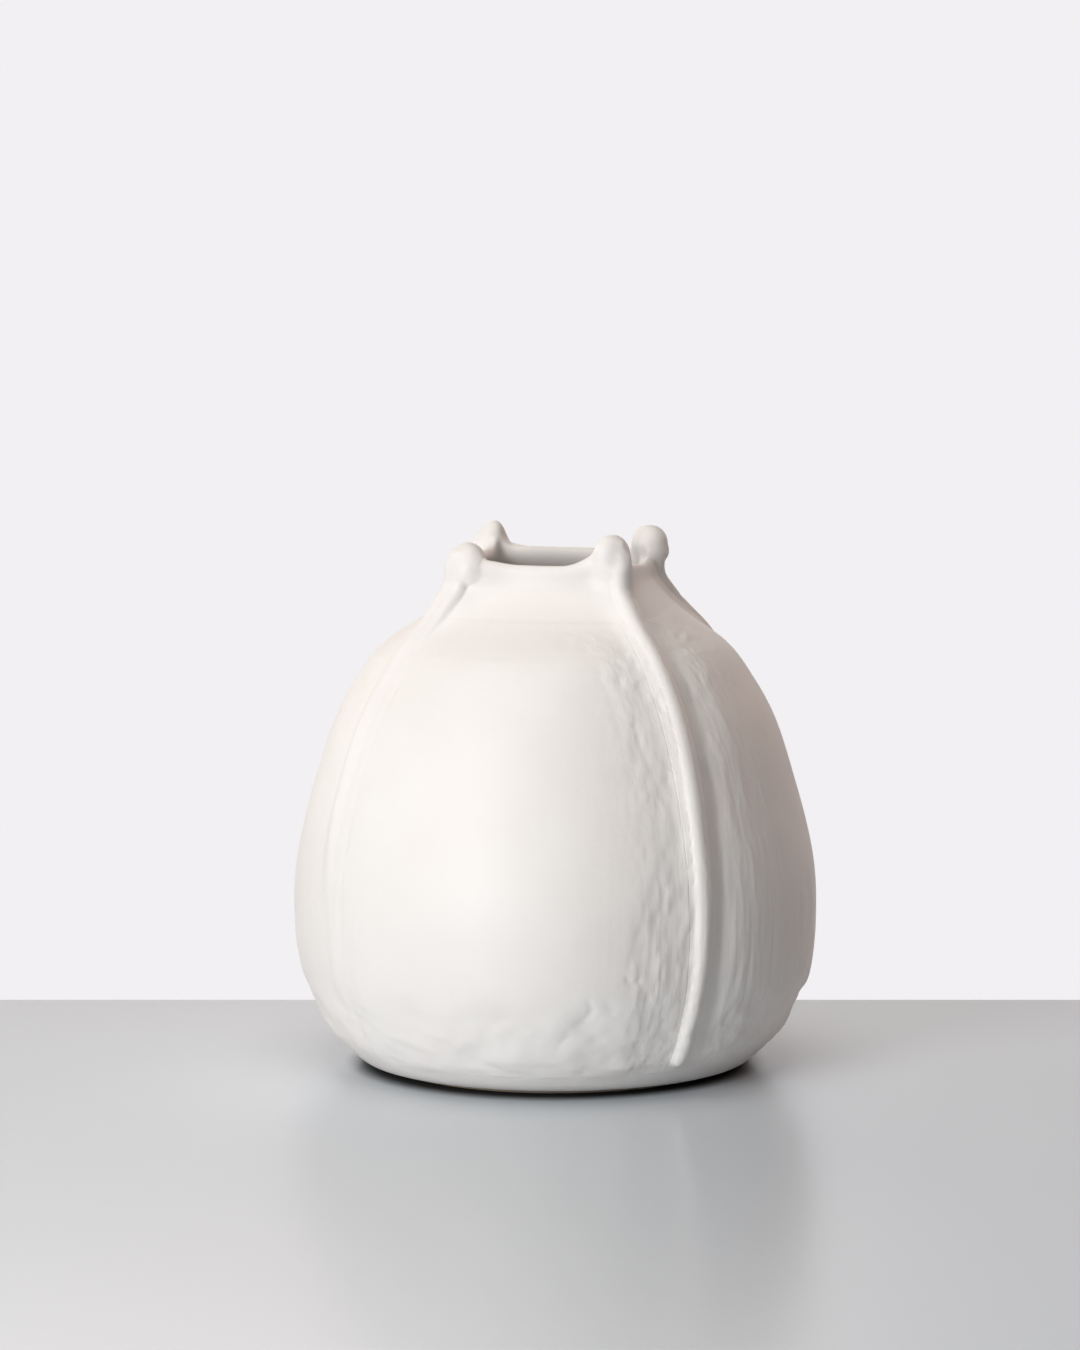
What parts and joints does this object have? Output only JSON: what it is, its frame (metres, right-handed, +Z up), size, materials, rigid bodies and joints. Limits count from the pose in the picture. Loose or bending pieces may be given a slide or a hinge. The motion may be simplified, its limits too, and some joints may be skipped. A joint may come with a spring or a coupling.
{
  "type": "pillow vase",
  "caption": "Hand-built white ceramic vase with cushion-shaped walls, raised rounded seams, a low square neck and upturned ears at the corners of its rim.",
  "frame": {"origin": "middle of the foot ring, on the surface that the vase stands on", "axes": "+Z up along the vase's axis, -Y out of the front wall, +X out of the right wall; the seams lie on the diagonals"},
  "size_m": [0.2402, 0.2402, 0.247],
  "materials": {
    "satin_white_glaze": "satin",
    "bare_stoneware": "matte"
  },
  "bodies": {
    "root": {"base_slab": "satin_white_glaze", "foot_ring": "bare_stoneware", "wall_panel_front": "satin_white_glaze", "wall_panel_right": "satin_white_glaze", "wall_panel_back": "satin_white_glaze", "wall_panel_left": "satin_white_glaze", "neck_panel_front": "satin_white_glaze", "neck_panel_right": "satin_white_glaze", "neck_panel_back": "satin_white_glaze", "neck_panel_left": "satin_white_glaze", "seam_rib_front_right": "satin_white_glaze", "seam_rib_back_right": "satin_white_glaze", "seam_rib_back_left": "satin_white_glaze", "seam_rib_front_left": "satin_white_glaze", "corner_ear_front_right": "satin_white_glaze", "corner_ear_back_right": "satin_white_glaze", "corner_ear_back_left": "satin_white_glaze", "corner_ear_front_left": "satin_white_glaze"}
  },
  "joints": []
}
